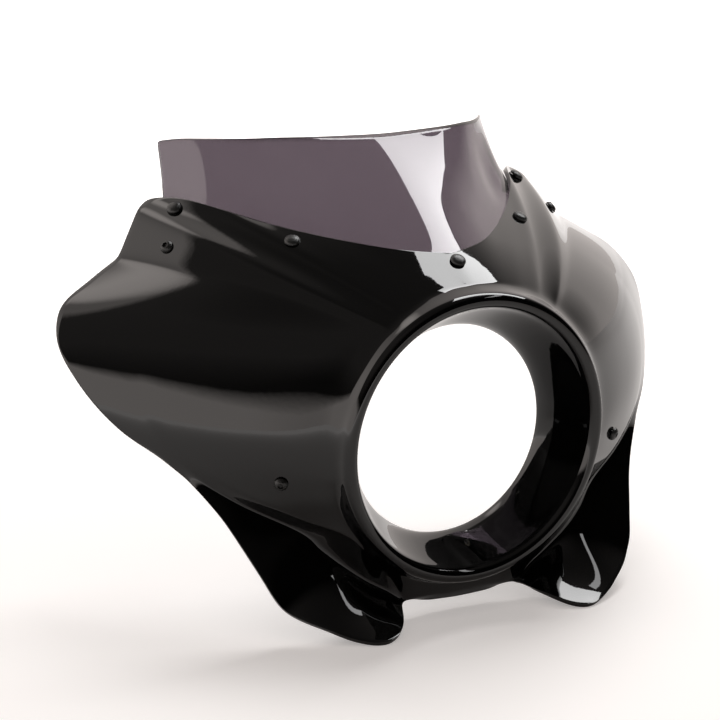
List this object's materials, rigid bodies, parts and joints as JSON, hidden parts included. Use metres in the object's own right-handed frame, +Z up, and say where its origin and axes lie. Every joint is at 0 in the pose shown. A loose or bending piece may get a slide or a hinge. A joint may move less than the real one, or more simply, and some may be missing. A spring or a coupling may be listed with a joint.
{
  "type": "motorcycle half fairing",
  "caption": "Gloss-black half fairing with a round headlamp tunnel, creased cowl, forward-swept lower fins and a short smoked screen screwed on behind its top edge.",
  "frame": {"origin": "centre of the headlamp bore, in the middle of its land", "axes": "+X to one side, +Y to the motorcycle's rear along the bore, +Z up"},
  "size_m": [0.5214, 0.2804, 0.3415],
  "materials": {
    "gloss_shell": "gloss",
    "smoked_screen": "gloss",
    "black_screw": "satin",
    "nylon": "satin",
    "zinc_nut": "satin",
    "spring_steel": "satin"
  },
  "bodies": {
    "root": {"fairing_shell": "gloss_shell", "windscreen": "smoked_screen", "screen_screw_1": "black_screw", "screen_screw_2": "black_screw", "screen_screw_3": "black_screw", "screen_screw_4": "black_screw", "screen_screw_5": "black_screw", "screen_washer_1": "nylon", "screen_washer_2": "nylon", "screen_washer_3": "nylon", "screen_washer_4": "nylon", "screen_washer_5": "nylon", "screen_nut_1": "zinc_nut", "screen_nut_2": "zinc_nut", "screen_nut_3": "zinc_nut", "screen_nut_4": "zinc_nut", "screen_nut_5": "zinc_nut", "bracket_screw_1": "black_screw", "bracket_screw_2": "black_screw", "bracket_screw_3": "black_screw", "bracket_screw_4": "black_screw", "bracket_washer_1": "spring_steel", "bracket_washer_2": "spring_steel", "bracket_washer_3": "spring_steel", "bracket_washer_4": "spring_steel"}
  },
  "joints": []
}
